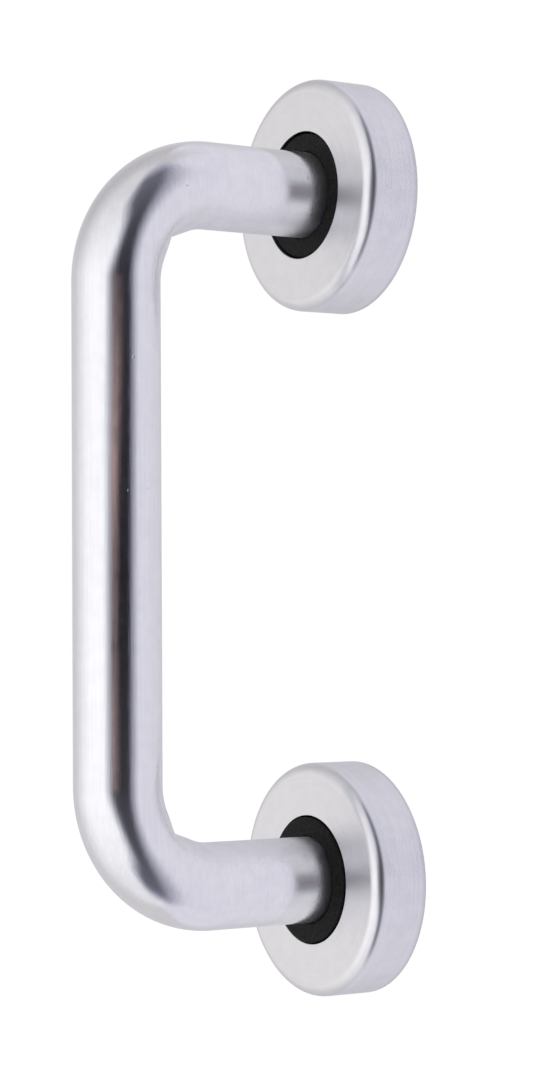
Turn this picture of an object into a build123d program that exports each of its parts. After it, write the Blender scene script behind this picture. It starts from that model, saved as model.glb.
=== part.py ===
from build123d import *

import math
import os

# D pull handle on two round roses, with concealed fixing.
#
# A round aluminium bar is bent twice into a D. Each end stands in the socket of a black moulded
# inner rose, where a countersunk screw holds it from the back. Wood screws fix each inner rose to
# the door, and a loose aluminium cover, captive on the leg, slides back over it to hide them.
#
# Millimetres. The door face is the plane Y = 0, and the handle stands in front of it, towards -Y.
# Z is up, along the grip. The origin is on the door face, midway between the two roses.

# Bar
fixing_centres = 152.0
bar_diameter = 19.0
projection = 62.5  # door face to the centreline of the grip
bend_radius = 22.5  # at the centreline
bend_crease = 1.2  # the inside of each bend is pinched by this much at its middle
former_groove = 11.0  # radius of the groove in the former that pinched it
former_slack = 0.05  # between the former and the bar, each side of the pinch
bar_end_chamfer = 0.6

# Rose cover, a pressed cup with a round hole in its face
rose_diameter = 51.5
rose_height = 13.5  # door face to the front of a cover that is home
cover_wall = 1.5  # side
cover_face = 1.5
cover_edge_radius = 2.5  # outside, around the face
cover_corner_radius = 1.0  # inside, around the face
cover_lip_radius = 0.3  # front edge of the hole, and both edges of the open rim
cover_door_gap = 0.2  # the rim stops short of the door
cover_hole_gap = 0.3  # between the hole and the boss of the inner rose
cover_fit_gap = 0.15  # between the side wall and the grip ribs
upper_cover_ahead = 1.0  # the upper cover stands this far off its seat, the lower one is home

# Inner rose, a moulded base with a boss that fills the hole in the cover
boss_wall = 4.2  # around the end of the bar
boss_proud = 0.4  # beyond the face of a cover that is home
boss_edge_radius = 0.4
socket_clearance = 0.1  # around the end of the bar
socket_floor = 7.0  # under the end of the bar
socket_chamfer = 0.3
flange_thickness = 4.0  # under the heads of the wood screws
rim_wall = 1.65
web_count = 8  # places for webs, two of which are left free for the wood screws
web_thickness = 1.6
web_height = 5.0  # above the flange
grip_rib_count = 4
grip_rib_width = 3.0
grip_rib_height = 0.25  # proud of the rim
grip_rib_margin = 1.0  # short of the rim at both ends

# Wood screw holes in each inner rose
wood_screw_hole = 4.5
wood_screw_head = 8.0  # widest part of the countersink

# Countersunk socket screw that holds the bar in the inner rose
screw_diameter = 8.0
screw_length = 20.0
screw_head_diameter = 16.0
screw_head_land = 0.5  # straight edge of the head
screw_sunk = 0.4  # below the door face
screw_seat_gap = 0.05  # around the head
screw_hole = 8.5  # clearance hole in the floor of the socket
screw_end_chamfer = 0.8
hex_flats = 5.0
hex_depth = 3.0
thread_gap = 0.05  # the thread is drawn as a plain shank in a plain hole
tap_run_out = 4.0  # hole beyond the end of the screw
drill_point_angle = 118.0

# Sizes that follow
bar_radius = bar_diameter / 2
cover_radius = rose_diameter / 2
cover_inside = cover_radius - cover_wall
seat_height = rose_height - cover_face  # the face of the cover rests on the rim here
boss_radius = bar_radius + socket_clearance + boss_wall
boss_height = rose_height + boss_proud
cover_hole_radius = boss_radius + cover_hole_gap
rim_radius = cover_inside - cover_fit_gap - grip_rib_height
rim_inside = rim_radius - rim_wall
wood_screw_offset = (boss_radius + rim_inside) / 2  # from the axis of the rose, along X
screw_radius = screw_diameter / 2
screw_head_radius = screw_head_diameter / 2

upright = (Align.CENTER, Align.CENTER, Align.MIN)
outward = (Align.MIN, Align.CENTER, Align.MIN)


# Plane on the door face at one end of the handle: side is +1 above and -1 below, Z is out of the door
def rose_frame(side):
    return Plane(origin=(0, 0, side * fixing_centres / 2), x_dir=(1, 0, 0), z_dir=(0, -1, 0))


# Round post on the axis of the rose, between two heights above the door face
def post(radius, start, end):
    return Pos(0, 0, start) * Cylinder(radius, end - start, align=upright)


# Cone on the axis of the rose, between two heights above the door face
def taper(start_radius, end_radius, start, end):
    return Pos(0, 0, start) * Cone(start_radius, end_radius, end - start, align=upright)


def top_edges(shape):
    return shape.edges().group_by(Axis.Z)[-1]


# What a former takes from the inside of a bend: two straight grooves that meet in a crease. The origin
# is the centre of the bend and Z goes to the crease
def make_pinch():
    inside = bend_radius - bar_radius
    bottom = inside - former_slack
    lean = math.acos(bottom / (inside + bend_crease))
    length = 2 * inside * math.tan(lean)
    depth = bend_radius - inside / 2
    block = Box(bar_diameter, length, depth, align=(Align.CENTER, Align.MAX, Align.MIN))
    groove = Rot(90, 0, 0) * Cylinder(former_groove, 2 * length)
    flank = Pos(0, 0, inside / 2) * block - Pos(0, 0, bottom + former_groove) * groove
    flank = split(Rot(-math.degrees(lean), 0, 0) * flank, bisect_by=Plane.XZ, keep=Keep.BOTTOM)
    return flank + mirror(flank, about=Plane.XZ)


def make_grip_bar():
    half = fixing_centres / 2
    path = FilletPolyline(
        (0, -socket_floor, half),
        (0, -projection, half),
        (0, -projection, -half),
        (0, -socket_floor, -half),
        radius=bend_radius,
    )
    bar = sweep(Plane(origin=path @ 0, z_dir=path % 0) * Circle(bar_radius), path=path)
    end_edges = bar.edges().filter_by(GeomType.CIRCLE).group_by(Axis.Y)[-1]
    bar = chamfer(end_edges, bar_end_chamfer)

    pinch = make_pinch()
    for side in (1, -1):
        bend_centre = (0, bend_radius - projection, side * (half - bend_radius))
        bar -= Plane(origin=bend_centre, x_dir=(1, 0, 0), z_dir=(0, -1, side)) * pinch

    # Tapped hole in each end, with the point that the drill leaves
    hole_radius = screw_radius + thread_gap
    hole_end = screw_sunk + screw_length + tap_run_out
    point = hole_radius / math.tan(math.radians(drill_point_angle / 2))
    hole = post(hole_radius, socket_floor, hole_end) + taper(hole_radius, 0, hole_end, hole_end + point)
    for side in (1, -1):
        bar -= rose_frame(side) * hole
    return bar


def make_rose_cover():
    cover = post(cover_radius, cover_door_gap, rose_height)
    cover = fillet(top_edges(cover), cover_edge_radius)
    hollow = post(cover_inside, cover_door_gap, seat_height)
    cover -= fillet(top_edges(hollow), cover_corner_radius)
    cover -= post(cover_hole_radius, seat_height, rose_height)

    circles = cover.edges().filter_by(GeomType.CIRCLE)
    front_hole_edge = circles.sort_by(SortBy.RADIUS).group_by(SortBy.RADIUS)[0].sort_by(Axis.Z)[-1]
    rim_edges = circles.group_by(Axis.Z)[0]
    return fillet([front_hole_edge] + rim_edges, cover_lip_radius)


def make_inner_rose():
    rose = post(rim_radius, 0, seat_height)
    rose = chamfer(top_edges(rose), cover_corner_radius)  # clears the inside corner of the cover
    rose -= post(rim_inside, flange_thickness, seat_height)

    # Webs stiffen the rim, except where the wood screws go
    web_end = rim_inside + rim_wall / 2
    web = Box(web_end - bar_radius, web_thickness, web_height, align=outward)
    for place in range(web_count):
        if place % (web_count // 2):
            rose += Rot(0, 0, 360 / web_count * place) * Pos(bar_radius, 0, flange_thickness) * web

    # Ribs on the rim grip the side wall of the cover
    rib_end = seat_height - cover_corner_radius - grip_rib_margin
    rib = Box(cover_radius, grip_rib_width, rib_end - grip_rib_margin, align=outward)
    rib = Pos(0, 0, grip_rib_margin) * rib
    rib &= post(rim_radius + grip_rib_height, grip_rib_margin, rib_end)
    rib -= post(rim_inside + rim_wall / 2, grip_rib_margin, rib_end)
    for place in range(grip_rib_count):
        rose += Rot(0, 0, 360 / grip_rib_count * (place + 0.5)) * rib

    boss = post(boss_radius, 0, boss_height)
    rose += fillet(top_edges(boss), boss_edge_radius)

    # Socket for the end of the bar, and the seat of its screw in the back
    socket_radius = bar_radius + socket_clearance
    rose -= post(socket_radius, socket_floor, boss_height)
    rose -= taper(socket_radius, socket_radius + socket_chamfer, boss_height - socket_chamfer, boss_height)
    rose -= post(screw_hole / 2, 0, socket_floor)
    seat_radius = screw_head_radius + screw_seat_gap
    seat_start = screw_sunk + screw_head_land + screw_seat_gap
    rose -= post(seat_radius, 0, seat_start)
    rose -= taper(seat_radius, screw_hole / 2, seat_start, seat_start + seat_radius - screw_hole / 2)

    # Countersunk holes for the wood screws, entered from the front
    hole_radius = wood_screw_hole / 2
    head_radius = wood_screw_head / 2
    sink_start = flange_thickness - (head_radius - hole_radius)
    hole = post(hole_radius, 0, flange_thickness)
    hole += taper(hole_radius, head_radius, sink_start, flange_thickness)
    for way in (1, -1):
        rose -= Pos(way * wood_screw_offset, 0, 0) * hole
    return rose


def make_bar_screw():
    head_start = screw_sunk + screw_head_land
    head_end = head_start + screw_head_radius - screw_radius
    shank = post(screw_radius, head_end, screw_sunk + screw_length)
    screw = chamfer(top_edges(shank), screw_end_chamfer)
    screw += taper(screw_head_radius, screw_radius, head_start, head_end)
    screw += post(screw_head_radius, screw_sunk, head_start)
    hexagon = RegularPolygon(hex_flats / 2, 6, major_radius=False)
    return screw - Pos(0, 0, screw_sunk) * extrude(hexagon, hex_depth)


cover = make_rose_cover()
inner_rose = make_inner_rose()
screw = make_bar_screw()
upper = rose_frame(1)
lower = rose_frame(-1)

nodes = {
    "grip_bar": make_grip_bar(),
    "upper_inner_rose": upper * inner_rose,
    "lower_inner_rose": lower * inner_rose,
    "upper_rose_cover": upper * Pos(0, 0, upper_cover_ahead) * cover,
    "lower_rose_cover": lower * cover,
    "bar_screws": Compound([upper * screw, lower * screw]),
}

os.makedirs("parts", exist_ok=True)
for name, shape in nodes.items():
    export_step(shape, f"parts/{name}.step")
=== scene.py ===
import math

import bmesh
import bpy
from mathutils import Matrix, Vector


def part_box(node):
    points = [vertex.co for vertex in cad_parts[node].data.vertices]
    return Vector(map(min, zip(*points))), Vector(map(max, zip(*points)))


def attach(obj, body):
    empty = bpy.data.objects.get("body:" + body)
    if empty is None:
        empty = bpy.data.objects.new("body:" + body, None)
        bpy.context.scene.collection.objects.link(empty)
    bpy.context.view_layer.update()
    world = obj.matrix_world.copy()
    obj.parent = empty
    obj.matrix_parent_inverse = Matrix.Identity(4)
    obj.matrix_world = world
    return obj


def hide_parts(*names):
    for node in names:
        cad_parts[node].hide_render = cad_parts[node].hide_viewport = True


# D pull handle in satin aluminium, on two round roses with loose covers.
# Metres. The door face is the plane y = 0, the handle stands in front of it, and z goes up the grip.

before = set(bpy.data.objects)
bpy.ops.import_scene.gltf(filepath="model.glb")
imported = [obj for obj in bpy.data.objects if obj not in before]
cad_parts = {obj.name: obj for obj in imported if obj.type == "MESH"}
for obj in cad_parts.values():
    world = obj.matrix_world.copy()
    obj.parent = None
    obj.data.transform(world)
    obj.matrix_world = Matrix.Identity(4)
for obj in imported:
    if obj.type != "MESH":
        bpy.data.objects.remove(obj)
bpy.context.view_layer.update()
print("frame loaded:", ", ".join(sorted(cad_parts)))

touching = 1e-6  # points this close are in the same place
smoothBelow = math.radians(30)  # edges that turn less than this are shaded smooth


# Shader nodes

class Wire:
    # a node's socket: arithmetic on it adds Math nodes

    def __init__(self, tree, socket=None):
        self.tree = tree
        self.socket = socket

    # any node: its settings come first, then the values or links of its sockets
    def node(self, kind, settings=None, values=None, output=0):
        made = self.tree.nodes.new(kind)
        for name, setting in (settings or {}).items():
            setattr(made, name, setting)
        for name, value in (values or {}).items():
            if isinstance(value, Wire):
                self.tree.links.new(value.socket, made.inputs[name])
            else:
                made.inputs[name].default_value = value
        return Wire(self.tree, made.outputs[output] if made.outputs else None)

    def math(self, operation, *values):
        return self.node("ShaderNodeMath", {"operation": operation}, dict(enumerate(values)))

    def __add__(self, other):
        return self.math("ADD", self, other)

    def __radd__(self, other):
        return self.math("ADD", other, self)

    def __sub__(self, other):
        return self.math("SUBTRACT", self, other)

    def __rsub__(self, other):
        return self.math("SUBTRACT", other, self)

    def __mul__(self, other):
        return self.math("MULTIPLY", self, other)

    def __rmul__(self, other):
        return self.math("MULTIPLY", other, self)

    def __truediv__(self, other):
        return self.math("DIVIDE", self, other)

    def __abs__(self):
        return self.math("ABSOLUTE", self)

    # the three parts of a vector
    def parts(self):
        split = self.node("ShaderNodeSeparateXYZ", values={0: self})
        return [Wire(self.tree, socket) for socket in split.socket.node.outputs]

    def vector(self, x, y, z):
        return self.node("ShaderNodeCombineXYZ", values={0: x, 1: y, 2: z})

    # 0 below low, 1 above high, smooth between
    def rise(self, low, high):
        smooth = {"interpolation_type": "SMOOTHSTEP"}
        values = {"Value": self, "From Min": low, "From Max": high}
        return self.node("ShaderNodeMapRange", smooth, values)

    # colour that goes from one to the other as this goes from 0 to 1
    def colours(self, first, second):
        first, second = (end if isinstance(end, Wire) else (*end, 1) for end in (first, second))
        values = {0: self, 6: first, 7: second}  # factor and the two colour sockets
        return self.node("ShaderNodeMix", {"data_type": "RGBA"}, values, 2)


def newMaterial(name):
    material = bpy.data.materials.new(name)
    material.use_nodes = True
    material.node_tree.nodes.clear()
    return material, Wire(material.node_tree)


def dress(piece, material):
    piece.data.materials.clear()
    piece.data.materials.append(material)


# Modelling helpers

def beginPiece(name):
    piece = bpy.context.object
    piece.name = name
    piece.data.name = name
    bpy.ops.object.transform_apply(location=True, rotation=True, scale=True)
    bpy.ops.object.mode_set(mode="EDIT")
    return piece


# the next ring of a form turned about an axis along y: moved along it and brought to a radius
def nextRing(centre, fromRadius, toRadius, alongY):
    bpy.ops.mesh.extrude_region_move(TRANSFORM_OT_translate={"value": (0, alongY, 0)})
    if toRadius != fromRadius:
        middle = (centre.x, centre.y, centre.z)
        bpy.ops.transform.resize(value=(toRadius / fromRadius,) * 3, center_override=middle)


# select the edges or faces of the piece in edit mode that pass a test
def pick(piece, kind, test):
    bpy.ops.mesh.select_mode(type="EDGE" if kind == "edges" else "FACE")
    bpy.ops.mesh.select_all(action="DESELECT")
    mesh = bmesh.from_edit_mesh(piece.data)
    for part in getattr(mesh, kind):
        if test(part):
            part.select_set(True)
    mesh.select_flush_mode()
    bmesh.update_edit_mesh(piece.data)


def closeNormals():
    bpy.ops.mesh.select_mode(type="VERT")
    bpy.ops.mesh.select_all(action="SELECT")
    bpy.ops.mesh.remove_doubles(threshold=touching)
    bpy.ops.mesh.normals_make_consistent(inside=False)
    bpy.ops.object.mode_set(mode="OBJECT")


def applyModifier(piece, kind, settings):
    bpy.ops.object.modifier_add(type=kind)
    modifier = piece.modifiers[-1]
    for name, setting in settings.items():
        setattr(modifier, name, setting)
    bpy.ops.object.modifier_apply(modifier=modifier.name)


# a place for each vertex that a finish can follow, kept as an attribute of the mesh
def keepPlaces(piece, name, placeOf):
    places = piece.data.attributes.new(name, "FLOAT_VECTOR", "POINT")
    for vertex, kept in zip(piece.data.vertices, places.data):
        kept.vector = placeOf(vertex.co)


# Grip bar

barLow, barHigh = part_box("grip_bar")
barRadius = (barHigh.x - barLow.x) / 2
halfCentres = barHigh.z - barRadius
projection = -barLow.y - barRadius  # door face to the centreline of the grip
barEnd = -barHigh.y  # door face to the ends of the bar

gripBar = {
    "bendRadius": 0.0225,  # at the centreline
    "creaseDepth": 0.0012,  # the inside of each bend is pinched by this much at its middle
    "creaseWidth": 0.010,  # across the bar
    "creaseReach": 0.005,  # how far the pinch spreads from the crease
    "creaseSteps": 1.1,  # steps of the bend that the crease takes, each side of its middle
    "endChamfer": 0.0006,
    "holeRadius": 0.00405,
    "holeEnd": 0.0244,  # door face to the full depth of the tapped hole
    "drillPoint": math.radians(118),
    "sides": 160,
    "bendSteps": 60,
}
bend = gripBar["bendRadius"]
gripStart = halfCentres - bend  # where the straight grip meets the bend, above and below the middle
legStart = projection - bend  # where the bend meets the straight leg, from the door


def makeGripBar():
    holeRadius = gripBar["holeRadius"]
    holeEnd = gripBar["holeEnd"]
    chamfer = gripBar["endChamfer"]
    tip = holeRadius / math.tan(gripBar["drillPoint"] / 2)
    bpy.ops.object.select_all(action="DESELECT")
    bpy.ops.mesh.primitive_circle_add(
        vertices=gripBar["sides"],
        radius=holeRadius,
        location=(0, -holeEnd, halfCentres),
        rotation=(math.pi / 2, 0, 0),
    )
    piece = beginPiece("gripBar")
    axis = Vector((0, 0, halfCentres))

    # drill point, then back out of the hole, over the end face and its chamfer
    bpy.ops.mesh.extrude_region_move(TRANSFORM_OT_translate={"value": (0, -tip, 0)})
    bpy.ops.mesh.merge(type="CENTER")
    pick(piece, "edges", lambda edge: all(abs(v.co.y + holeEnd) < touching for v in edge.verts))
    nextRing(axis, holeRadius, holeRadius, holeEnd - barEnd)
    nextRing(axis + Vector((0, -barEnd, 0)), holeRadius, barRadius - chamfer, 0)
    nextRing(axis + Vector((0, -barEnd - chamfer, 0)), barRadius - chamfer, barRadius, -chamfer)

    # leg, bend and half of the grip, then the other half as its mirror image
    nextRing(axis, barRadius, barRadius, barEnd + chamfer - legStart)
    bpy.ops.mesh.spin(
        steps=gripBar["bendSteps"],
        angle=-math.pi / 2,  # towards -y
        center=(0, -legStart, gripStart),
        axis=(1, 0, 0),
    )
    bpy.ops.mesh.extrude_region_move(TRANSFORM_OT_translate={"value": (0, 0, -gripStart)})

    # the former has pinched the inside of the bend: a crease in its middle that fades out around it
    nearMiddle = gripBar["creaseSteps"] * math.pi / 2 / gripBar["bendSteps"]

    def inCrease(place):
        out = -place.y - legStart
        above = place.z - gripStart
        middle = abs(math.atan2(above, out) - math.pi / 4) < nearMiddle
        within = abs(place.x) < gripBar["creaseWidth"] / 2
        return middle and within and math.hypot(out, above) < bend

    pick(piece, "edges", lambda edge: all(inCrease(v.co) for v in edge.verts))
    press = gripBar["creaseDepth"] / math.sqrt(2)
    bpy.ops.transform.translate(
        value=(0, -press, press),
        use_proportional_edit=True,
        proportional_edit_falloff="SHARP",
        proportional_size=gripBar["creaseReach"],
    )
    bpy.ops.object.mode_set(mode="OBJECT")
    applyModifier(piece, "MIRROR", {"use_axis": (False, False, True), "merge_threshold": touching})
    bpy.ops.object.mode_set(mode="EDIT")
    closeNormals()
    bpy.ops.object.shade_smooth_by_angle(angle=smoothBelow)
    keepPlaces(piece, "unbent", unbend)
    return piece


# place on the bar before it was bent: across, out from the bend, along
def unbend(place):
    side = 1 if place.z >= 0 else -1
    height = abs(place.z)
    if height < gripStart:
        return place.x, -place.y - projection, side * height
    if place.y > -legStart:
        along = gripStart + bend * math.pi / 2 + place.y + legStart
        return place.x, height - halfCentres, side * along
    out = -place.y - legStart
    above = height - gripStart
    along = gripStart + bend * math.atan2(above, out)
    return place.x, math.hypot(out, above) - bend, side * along


# Rose covers

roseCover = {
    "wall": 0.0015,
    "face": 0.0015,
    "holeRadius": 0.0141,
    "edgeRadius": 0.0025,  # outside, around the face
    "cornerRadius": 0.001,  # inside, around the face
    "lipRadius": 0.0003,  # front edge of the hole, and both edges of the open rim
    "edgeSteps": 12,
    "cornerSteps": 6,
    "lipSteps": 3,
    "sides": 192,
    "ringReach": 0.00002,  # the points of a ring are this close to its radius
}


def makeRoseCover(name, node):
    low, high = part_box(node)
    radius = (high.x - low.x) / 2
    inside = radius - roseCover["wall"]
    hole = roseCover["holeRadius"]
    face = roseCover["face"]
    middle = (low + high) / 2
    bpy.ops.object.select_all(action="DESELECT")
    bpy.ops.mesh.primitive_cylinder_add(
        vertices=roseCover["sides"],
        radius=radius,
        depth=high.y - low.y,
        location=middle,
        rotation=(math.pi / 2, 0, 0),
    )
    piece = beginPiece(name)

    def atY(part, y):
        return all(abs(v.co.y - y) < touching for v in part.verts)

    def onRing(part, y, ring):
        radii = [math.hypot(v.co.x, v.co.z - middle.z) for v in part.verts]
        return atY(part, y) and all(abs(r - ring) < roseCover["ringReach"] for r in radii)

    # hole in the face, then the inside: under the face and down the wall to the rim
    pick(piece, "faces", lambda part: atY(part, low.y))
    bpy.ops.mesh.inset(thickness=radius - hole)
    hollow = Vector((0, low.y + face, middle.z))
    nextRing(hollow, hole, hole, face)
    nextRing(hollow, hole, inside, 0)
    nextRing(hollow, inside, inside, high.y - low.y - face)
    pick(piece, "faces", lambda part: atY(part, high.y))
    bpy.ops.mesh.delete(type="FACE")
    pick(piece, "edges", lambda part: atY(part, high.y))
    bpy.ops.mesh.bridge_edge_loops()

    for y, ring, rounding in (
        (low.y, radius, "edge"),
        (low.y + face, inside, "corner"),
        (low.y, hole, "lip"),
        (high.y, radius, "lip"),
        (high.y, inside, "lip"),
    ):
        pick(piece, "edges", lambda part: onRing(part, y, ring))
        size, steps = roseCover[rounding + "Radius"], roseCover[rounding + "Steps"]
        bpy.ops.mesh.bevel(offset=size, segments=steps, affect="EDGES")
    closeNormals()
    bpy.ops.object.shade_smooth_by_angle(angle=smoothBelow)
    applyModifier(piece, "WEIGHTED_NORMAL", {"keep_sharp": True})
    keepPlaces(piece, "turned", lambda place: (place.x, place.y - low.y, place.z - middle.z))
    return piece


# Finishes

# both aluminium finishes
satin = {
    "grainLength": 60,  # times the width of a line
    "grainDetail": 2,
    "brushLength": 40,
    "brushDetail": 3,
    "cloudScale": 300,
    "cloudDetail": 3,
    "toneOver": (0.3, 0.7),  # streaks and clouds together, from the colour to the shade
    "toneDull": 0.06,  # roughness added where the shade is full
}

barAluminium = {
    "places": "unbent",
    "colour": (0.829, 0.838, 0.868),
    "shade": (0.773, 0.781, 0.822),  # where the finish is a little duller
    "roughness": 0.11,
    "grooveWidth": 0.00012,  # the satin grain
    "grooveDepth": 0.00001,
    "streakWidth": 0.0006,
    "streakDepth": 0.7,  # beside the depth of the grooves
    "insideDull": 0.3,  # roughness added where polishing hardly reaches: inside the D
    "insideFrom": (0.003, 0.008),  # begins and is full this far in from the centreline
    "endDull": 0.18,  # and at the ends of the legs
    "endFrom": (0.108, 0.1135),  # this far along from the middle of the bar
}

coverAluminium = {
    "places": "turned",
    "colour": (0.795, 0.812, 0.845),
    "shade": (0.739, 0.755, 0.799),
    "roughness": 0.28,
    "grooveWidth": 0.00012,
    "grooveDepth": 0.000015,
    "streakWidth": 0.0006,
    "streakDepth": 0.3,
    "grainRadius": 0.04,  # where the turned lines have their full length
    "scuffWidth": 0.0004,  # on the side
    "scuffDepth": 6,
    "sideFrom": (0.002, 0.004),  # behind the face
    "rimPaintedShade": (0.582, 0.598, 0.638),  # painted shade along the open rim
    "rimPaintedShadeFrom": (0.0119, 0.0133),  # where the painted shade begins and is full, behind the face
    "faceDull": 0.04,  # roughness added on the face
    "facePaintedLight": (0.902, 0.863, 0.845),  # painted light: the face goes a little towards this lighter, warmer colour
    # share of the painted light on the face
    "facePaintedLightShare": 0.3,
    "faceTo": (0.0001, 0.0008),  # behind the face
}

# small knocks on the bar
knocks = {
    "colour": (0.25, 0.25, 0.26),
    "tint": 0.2,
    "depth": 3,  # beside the depth of the grooves
    "core": 0.3,  # the share of a knock's size that has its full depth
    "places": (  # before bending (across, out, along), and size
        ((0.0094, 0.0014, 0.0368), 0.0003),
        ((0.0091, 0.0026, 0.0087), 0.0003),
        ((0.0093, -0.0020, 0.0092), 0.0004),
        ((0.0095, 0.0005, 0.0781), 0.0003),
        ((0.0092, 0.0023, 0.1101), 0.0006),
        ((0.0073, -0.0061, -0.1096), 0.0006),
    ),
}


def attribute(wire, name):
    return wire.node("ShaderNodeAttribute", {"attribute_name": name}, output="Vector")


def noise(place, scale=1, detail=2):
    values = {"Vector": place, "Scale": scale, "Detail": detail}
    return place.node("ShaderNodeTexNoise", values=values)


def bump(wire, depth, height):
    return wire.node("ShaderNodeBump", values={"Distance": depth, "Height": height})


def surface(wire, values):
    shader = wire.node("ShaderNodeBsdfPrincipled", values=values)
    wire.node("ShaderNodeOutputMaterial", values={"Surface": shader})


# satin metal: grain and brushing give noise of a width, drawn out along its lines, duller gives the
# roughness to add, and wearAndPaintedLight takes the colour and the height and gives them back
# changed, with real marks and, on the covers, painted light and shade
def satinMetal(name, metal, grain, brushing, duller, wearAndPaintedLight):
    material, wire = newMaterial(name)
    fine = grain(wire, metal["grooveWidth"])
    streaks = brushing(wire, metal["streakWidth"])
    clouds = noise(attribute(wire, metal["places"]), satin["cloudScale"], satin["cloudDetail"])
    height = fine + streaks * metal["streakDepth"]
    tone = ((streaks + clouds) / 2).rise(*satin["toneOver"])
    colour = tone.colours(metal["colour"], metal["shade"])
    colour, height = wearAndPaintedLight(wire, colour, height)
    surface(wire, {
        "Base Color": colour,
        "Metallic": 1,
        "Roughness": metal["roughness"] + satin["toneDull"] * tone + duller(wire),
        "Normal": bump(wire, metal["grooveDepth"], height),
    })
    return material


# lengthwise grain of the drawn bar
def barGrain(wire, width):
    across, out, along = attribute(wire, "unbent").parts()
    place = wire.vector(across / width, out / width, along / (satin["grainLength"] * width))
    return noise(place, detail=satin["grainDetail"])


# brush marks that run up and down the whole bar, legs and all
def barBrushing(wire, width):
    x, y, z = wire.node("ShaderNodeTexCoord", output="Object").parts()
    place = wire.vector(x / width, y / width, z / (satin["brushLength"] * width))
    return noise(place, detail=satin["brushDetail"])


def barDuller(wire):
    out, along = attribute(wire, "unbent").parts()[1:]
    inside = (0 - out).rise(*barAluminium["insideFrom"])
    ends = abs(along).rise(*barAluminium["endFrom"])
    return wire.math("MAXIMUM", barAluminium["insideDull"] * inside, barAluminium["endDull"] * ends)


# the small knocks are dark and deep
def barWear(wire, colour, height):
    place = attribute(wire, "unbent")
    distance = {"operation": "DISTANCE"}
    marks = 0
    for where, size in knocks["places"]:
        away = wire.node("ShaderNodeVectorMath", distance, {0: place, 1: where}, "Value")
        marks = marks + (1 - away.rise(knocks["core"] * size, size))
    colour = (knocks["tint"] * marks).colours(colour, knocks["colour"])
    return colour, height - knocks["depth"] * marks


# turned grain of the covers: rings about the axis of the rose
def coverGrain(wire, width):
    x, y, z = attribute(wire, "turned").parts()
    radius = wire.math("SQRT", x * x + z * z)
    turns = coverAluminium["grainRadius"] / (satin["grainLength"] * width)
    place = wire.vector(radius / width, y / width, turns * (x / radius))
    values = {"Vector": place, "W": turns * (z / radius), "Scale": 1, "Detail": satin["grainDetail"]}
    return wire.node("ShaderNodeTexNoise", {"noise_dimensions": "4D"}, values)


def onFace(wire):
    depth = attribute(wire, "turned").parts()[1]
    return 1 - depth.rise(*coverAluminium["faceTo"])


def coverDuller(wire):
    return coverAluminium["faceDull"] * onFace(wire)


# scuffs on the side, with painted shade darkening the open rim and painted light making the face
# lighter and warmer
def coverScuffsAndPaintedLight(wire, colour, height):
    place = attribute(wire, "turned")
    depth = place.parts()[1]
    scuffs = noise(place, 1 / coverAluminium["scuffWidth"])
    height = height + coverAluminium["scuffDepth"] * scuffs * depth.rise(*coverAluminium["sideFrom"])
    # painted light: the face goes lighter and warmer
    paintedFaceLight = coverAluminium["facePaintedLightShare"] * onFace(wire)
    colour = paintedFaceLight.colours(colour, coverAluminium["facePaintedLight"])
    # painted shade: the open rim goes darker
    return depth.rise(*coverAluminium["rimPaintedShadeFrom"]).colours(colour, coverAluminium["rimPaintedShade"]), height


nylon = {
    "colour": (0.0015, 0.0015, 0.0016),
    "worn": (0.032, 0.032, 0.032),  # the high spots of the mould texture
    "wornOver": (0.45, 0.75),
    "roughness": 0.6,
    "dull": 0.15,  # roughness that the texture adds
    "shine": 0.2,
    "grain": 0.0004,
    "grainDepth": 0.00003,
    "grainDetail": 3,
    "grainRough": 0.6,
}


def blackNylon():
    material, wire = newMaterial("blackNylon")
    place = wire.node("ShaderNodeTexCoord", output="Object")
    grain = wire.node("ShaderNodeTexNoise", values={
        "Vector": place,
        "Scale": 1 / nylon["grain"],
        "Detail": nylon["grainDetail"],
        "Roughness": nylon["grainRough"],
    })
    surface(wire, {
        "Base Color": grain.rise(*nylon["wornOver"]).colours(nylon["colour"], nylon["worn"]),
        "Roughness": nylon["roughness"] + nylon["dull"] * grain,
        "Specular IOR Level": nylon["shine"],
        "Normal": bump(wire, nylon["grainDepth"], grain),
    })
    return material


zinc = {
    "colour": (0.62, 0.62, 0.64),
    "dull": (0.5, 0.5, 0.53),
    "dullOver": (0.35, 0.65),
    "roughness": 0.28,
    "dullRough": 0.12,  # roughness that the crystals add
    "crystal": 0.0008,
    "crystalDepth": 0.00001,
    "crystalDetail": 4,
}


def screwSteel():
    material, wire = newMaterial("screwSteel")
    place = wire.node("ShaderNodeTexCoord", output="Object")
    grain = noise(place, 1 / zinc["crystal"], zinc["crystalDetail"])
    surface(wire, {
        "Base Color": grain.rise(*zinc["dullOver"]).colours(zinc["colour"], zinc["dull"]),
        "Metallic": 1,
        "Roughness": zinc["roughness"] + zinc["dullRough"] * grain,
        "Normal": bump(wire, zinc["crystalDepth"], grain),
    })
    return material


# Pieces and their finishes

bar = makeGripBar()
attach(bar, "handle")
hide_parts("grip_bar")
dress(bar, satinMetal("barAluminium", barAluminium, barGrain, barBrushing, barDuller, barWear))
print("grip bar:", len(bar.data.polygons), "faces")

coverFinish = satinMetal(
    "coverAluminium", coverAluminium, coverGrain, coverGrain, coverDuller, coverScuffsAndPaintedLight
)
for name, node, body in (
    ("upperRoseCover", "upper_rose_cover", "upper_cover"),
    ("lowerRoseCover", "lower_rose_cover", "lower_cover"),
):
    cover = makeRoseCover(name, node)
    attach(cover, body)
    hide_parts(node)
    dress(cover, coverFinish)
    print(name + ":", len(cover.data.polygons), "faces")

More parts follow.
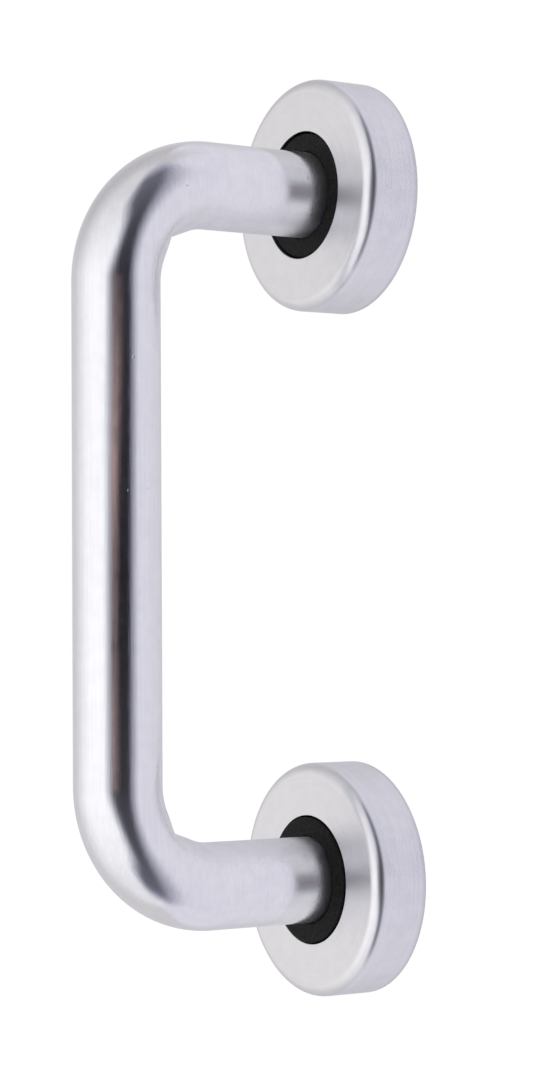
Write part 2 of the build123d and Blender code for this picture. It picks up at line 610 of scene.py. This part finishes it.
blackMoulding = blackNylon()
for node in ("upper_inner_rose", "lower_inner_rose"):
    dress(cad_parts[node], blackMoulding)
dress(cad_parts["bar_screws"], screwSteel())
print("finishes on the inner roses and screws")


# Camera

lookout = {
    "azimuth": 55.95,  # degrees round from the front, towards +x
    "elevation": -1.67,
    "roll": -0.30,
    "distance": 0.63653,
    "aside": -0.0200,
    "above": -0.00054,
    "lens": 94.52,
    "sensor": 36,
}


def makeCamera():
    azimuth = math.radians(lookout["azimuth"])
    elevation = math.radians(lookout["elevation"])
    back = Vector((
        math.sin(azimuth) * math.cos(elevation),
        -math.cos(azimuth) * math.cos(elevation),
        math.sin(elevation),
    ))
    right = Vector((math.cos(azimuth), math.sin(azimuth), 0))
    right = Matrix.Rotation(math.radians(lookout["roll"]), 3, back) @ right
    up = back.cross(right)
    place = back * lookout["distance"] + right * lookout["aside"] + up * lookout["above"]
    bpy.ops.object.camera_add()
    camera = bpy.context.object
    camera.data.sensor_width = lookout["sensor"]
    camera.data.lens = lookout["lens"]
    camera.matrix_world = Matrix.Translation(place) @ Matrix((right, up, back)).transposed().to_4x4()
    bpy.context.scene.camera = camera
    return right, back


# Studio: a pale tent, brighter on the left, with a dark slot where the camera stands, and a floor.
# Directions are in degrees: round from the camera, + to its right, and above the level of the handle

walls = {
    "left": (0.714, 0.693, 0.696),
    "leftAbove": (0.58, 0.561, 0.565),
    "leftAboveOver": (5, 35),  # above the level
    "right": (0.839, 0.811, 0.878),
    "rightOver": (-40, 40),  # round, from the left wall to the right one
    "behind": (0.683, 0.662, 0.696),
    "behindRight": (0.772, 0.748, 0.786),
    "behindRightOver": (0, 0.7),  # to the right, as a share of the way out
    "behindFacing": -25,  # round, straight across from its middle
    "behindOver": (100, 165),  # away from there
    "behindUpTo": (35, 65),  # above and below the level
    "ceiling": (0.643, 0.623, 0.635),
    "ceilingOver": (60, 85),
}

# soft panel in the left wall
panel = {
    "colour": (1.259, 1.237, 1.243),
    "from": -102,
    "fromSoft": 40,
    "slant": 5,  # starts further round by this above the level
    "slantOver": (0, 20),
    "to": 22,
    "toSoft": 14,
    "height": -8,  # of its brightest line
    "reach": 110,  # above and below that line
}

slot = {
    "colour": (0.0125, 0.0127, 0.0165),
    "low": (0.045, 0.042, 0.049),  # just below the level
    "lowOver": (-4, -0.5),
    "ends": (0.152, 0.149, 0.187),  # far above and below
    "endsAt": 60,
    "fringe": (0.429, 0.439, 0.574),  # along its soft edges
    "fringeShare": 1.4,
    "from": -20,
    "fromSoft": 14,
    "middle": -2,  # height of its widest part
    "narrow": 26,  # narrower by this above and below
    "narrowOver": (0, 32),
    "widen": 12,  # and wider again by this towards its ends
    "widenOver": (34, 54),
    "to": 44,
    "toSoft": 14,
    "toAbove": 7,  # further round by this above the level
    "toAboveOver": (-3, 8),
    "top": 76,
    "topSoft": 12,
    "bottom": -70,
    "bottomSoft": 10,
}

# warm patch in the left half of the slot, in two parts: a little above the level and a little below
warm = {
    "colour": (0.571, 0.39, 0.37),
    "gap": 0.1,  # height of the gap between the two
    "gapOver": (1, 3),
    "middle": 1.3,  # height of the middle of both
    "upTo": (3.9, 5.8),
    "fromOver": (-20, -13),
    "toOver": (-1, 10),
    "slant": 26,  # further right by this towards the top
    "slantOver": (3.6, 7.6),
}


def makeTent(right, back):
    world = bpy.data.worlds.new("tent")
    world.use_nodes = True
    world.node_tree.nodes.clear()
    bpy.context.scene.world = world
    wire = Wire(world.node_tree)
    x, y, z = wire.node("ShaderNodeTexCoord", output="Generated").parts()
    ahead = Vector((back.x, back.y)).normalized()
    turn = math.degrees(1)
    aside = x * right.x + y * right.y
    around = turn * wire.math("ARCTAN2", aside, x * ahead.x + y * ahead.y)
    height = turn * wire.math("ARCSINE", z)
    steep = abs(height)

    # 1 beyond a direction, with a soft edge
    def beyond(place, edge, soft):
        return place.rise(edge - soft, edge + soft)

    left = height.rise(*walls["leftAboveOver"]).colours(walls["left"], walls["leftAbove"])
    sides = around.rise(*walls["rightOver"]).colours(left, walls["right"])
    behind = aside.rise(*walls["behindRightOver"]).colours(walls["behind"], walls["behindRight"])
    atBack = abs(around - walls["behindFacing"]).rise(*walls["behindOver"])
    atBack = atBack * (1 - steep.rise(*walls["behindUpTo"]))
    standing = atBack.colours(sides, behind)
    roofed = height.rise(*walls["ceilingOver"]).colours(standing, walls["ceiling"])

    slanted = around - panel["slant"] * height.rise(*panel["slantOver"])
    onPanel = beyond(slanted, panel["from"], panel["fromSoft"])
    onPanel = onPanel * (1 - beyond(around, panel["to"], panel["toSoft"]))
    onPanel = onPanel * (1 - abs(height - panel["height"]) / panel["reach"])
    lit = onPanel.colours(roofed, panel["colour"])

    # the slot is narrower above and below, and leans to the right above the level
    waist = abs(height - slot["middle"])
    narrowed = around - slot["narrow"] * waist.rise(*slot["narrowOver"])
    narrowed = narrowed + slot["widen"] * waist.rise(*slot["widenOver"])
    leaning = around - slot["toAbove"] * height.rise(*slot["toAboveOver"])
    inSlot = beyond(narrowed, slot["from"], slot["fromSoft"])
    inSlot = inSlot * (1 - beyond(leaning, slot["to"], slot["toSoft"]))
    inSlot = inSlot * (1 - beyond(height, slot["top"], slot["topSoft"]))
    inSlot = inSlot * beyond(height, slot["bottom"], slot["bottomSoft"])

    slanting = around - warm["slant"] * height.rise(*warm["slantOver"])
    warmth = abs(height - warm["gap"]).rise(*warm["gapOver"])
    warmth = warmth * (1 - abs(height - warm["middle"]).rise(*warm["upTo"]))
    warmth = warmth * slanting.rise(*warm["fromOver"]) * (1 - slanting.rise(*warm["toOver"]))
    level = height.rise(*slot["lowOver"]).colours(slot["low"], slot["colour"])
    level = warmth.colours(level, warm["colour"])
    dark = (steep / slot["endsAt"]).colours(level, slot["ends"])
    fringe = slot["fringeShare"] * inSlot * (1 - inSlot)
    tent = fringe.colours(inSlot.colours(lit, dark), slot["fringe"])

    # the camera sees plain white behind the handle
    seen = wire.node("ShaderNodeLightPath", output="Is Camera Ray")
    colour = seen.colours(tent, (1, 1, 1))
    background = wire.node("ShaderNodeBackground", values={"Color": colour})
    wire.node("ShaderNodeOutputWorld", values={"Surface": background})


paleFloor = {
    "height": -0.16,
    "size": 6.0,
    "colour": (0.86, 0.86, 0.86),
    "patches": (0.84, 0.84, 0.84),
    "patchScale": 4,
    "glow": 0.45,  # what it adds for the camera, so that it reads white
}


def makeFloor():
    bpy.ops.object.select_all(action="DESELECT")
    bpy.ops.mesh.primitive_plane_add(size=paleFloor["size"], location=(0, 0, paleFloor["height"]))
    floor = bpy.context.object
    floor.name = "floor"
    material, wire = newMaterial("paleFloor")
    place = wire.node("ShaderNodeTexCoord", output="Object")
    colour = noise(place, paleFloor["patchScale"]).colours(paleFloor["colour"], paleFloor["patches"])
    matt = wire.node("ShaderNodeBsdfDiffuse", values={"Color": colour})
    seen = wire.node("ShaderNodeLightPath", output="Is Camera Ray")
    glow = wire.node("ShaderNodeEmission", values={"Strength": paleFloor["glow"] * seen})
    lit = wire.node("ShaderNodeAddShader", values={0: matt, 1: glow})
    clear = wire.node("ShaderNodeBsdfTransparent")
    under = wire.node("ShaderNodeNewGeometry", output="Backfacing")
    sheet = wire.node("ShaderNodeMixShader", values={0: under, 1: lit, 2: clear})
    wire.node("ShaderNodeOutputMaterial", values={"Surface": sheet})
    dress(floor, material)
    floor.visible_glossy = False  # the metal shows the tent on all sides


right, back = makeCamera()
makeTent(right, back)
makeFloor()
bpy.context.scene.view_settings.view_transform = "Standard"
print("camera and studio set")
